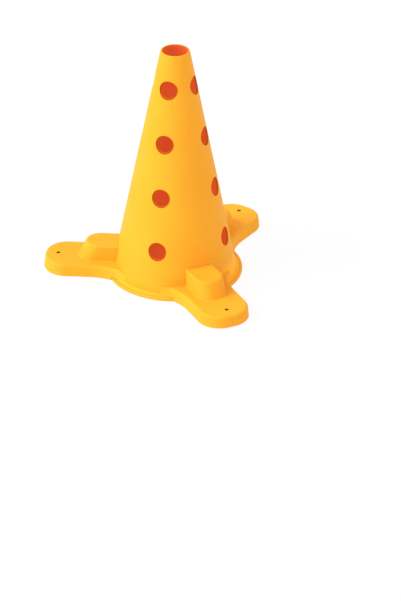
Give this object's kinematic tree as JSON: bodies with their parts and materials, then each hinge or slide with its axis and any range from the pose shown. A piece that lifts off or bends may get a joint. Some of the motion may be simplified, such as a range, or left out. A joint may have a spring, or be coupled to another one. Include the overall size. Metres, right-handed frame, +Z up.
{
  "type": "training cone",
  "caption": "Pierced training cone with an open top and a slip-on base whose weighted feet spread round it and take ground pegs.",
  "frame": {"origin": "on the floor, on the axis of the cone, at the middle of its closing disc's lower face", "axes": "+Z up the axis of the cone; +X and +Y along the two ways of its pole holes; the front foot points half way between +X and -Y"},
  "size_m": [0.3584, 0.3584, 0.38],
  "materials": {
    "cone_plastic": "moulded yellow plastic, satin",
    "liner_plastic": "moulded red plastic, satin",
    "base_plastic": "moulded yellow plastic, satin",
    "ballast": "rough cast iron",
    "cover_plastic": "moulded yellow plastic, grained",
    "pad_rubber": "dark matt rubber",
    "screw_steel": "zinc-plated steel"
  },
  "bodies": {
    "cone": {"cone_shell": "cone_plastic", "cone_liner": "liner_plastic", "cone_disc": "cone_plastic"},
    "base": {"base_shell": "base_plastic", "ballast_block_front": "ballast", "foot_cover_front": "cover_plastic", "floor_pad_front": "pad_rubber", "cover_screw_front_1": "screw_steel", "cover_screw_front_2": "screw_steel", "cover_screw_front_3": "screw_steel", "ballast_block_back": "ballast", "foot_cover_back": "cover_plastic", "floor_pad_back": "pad_rubber", "cover_screw_back_1": "screw_steel", "cover_screw_back_2": "screw_steel", "cover_screw_back_3": "screw_steel", "ballast_block_left": "ballast", "foot_cover_left": "cover_plastic", "floor_pad_left": "pad_rubber", "cover_screw_left_1": "screw_steel", "cover_screw_left_2": "screw_steel", "cover_screw_left_3": "screw_steel"}
  },
  "joints": [
    {"name": "base_lift", "type": "slide", "parent": "cone", "child": "base", "axis": [0, 0, 1], "range_m": [0, 0.385]}
  ]
}
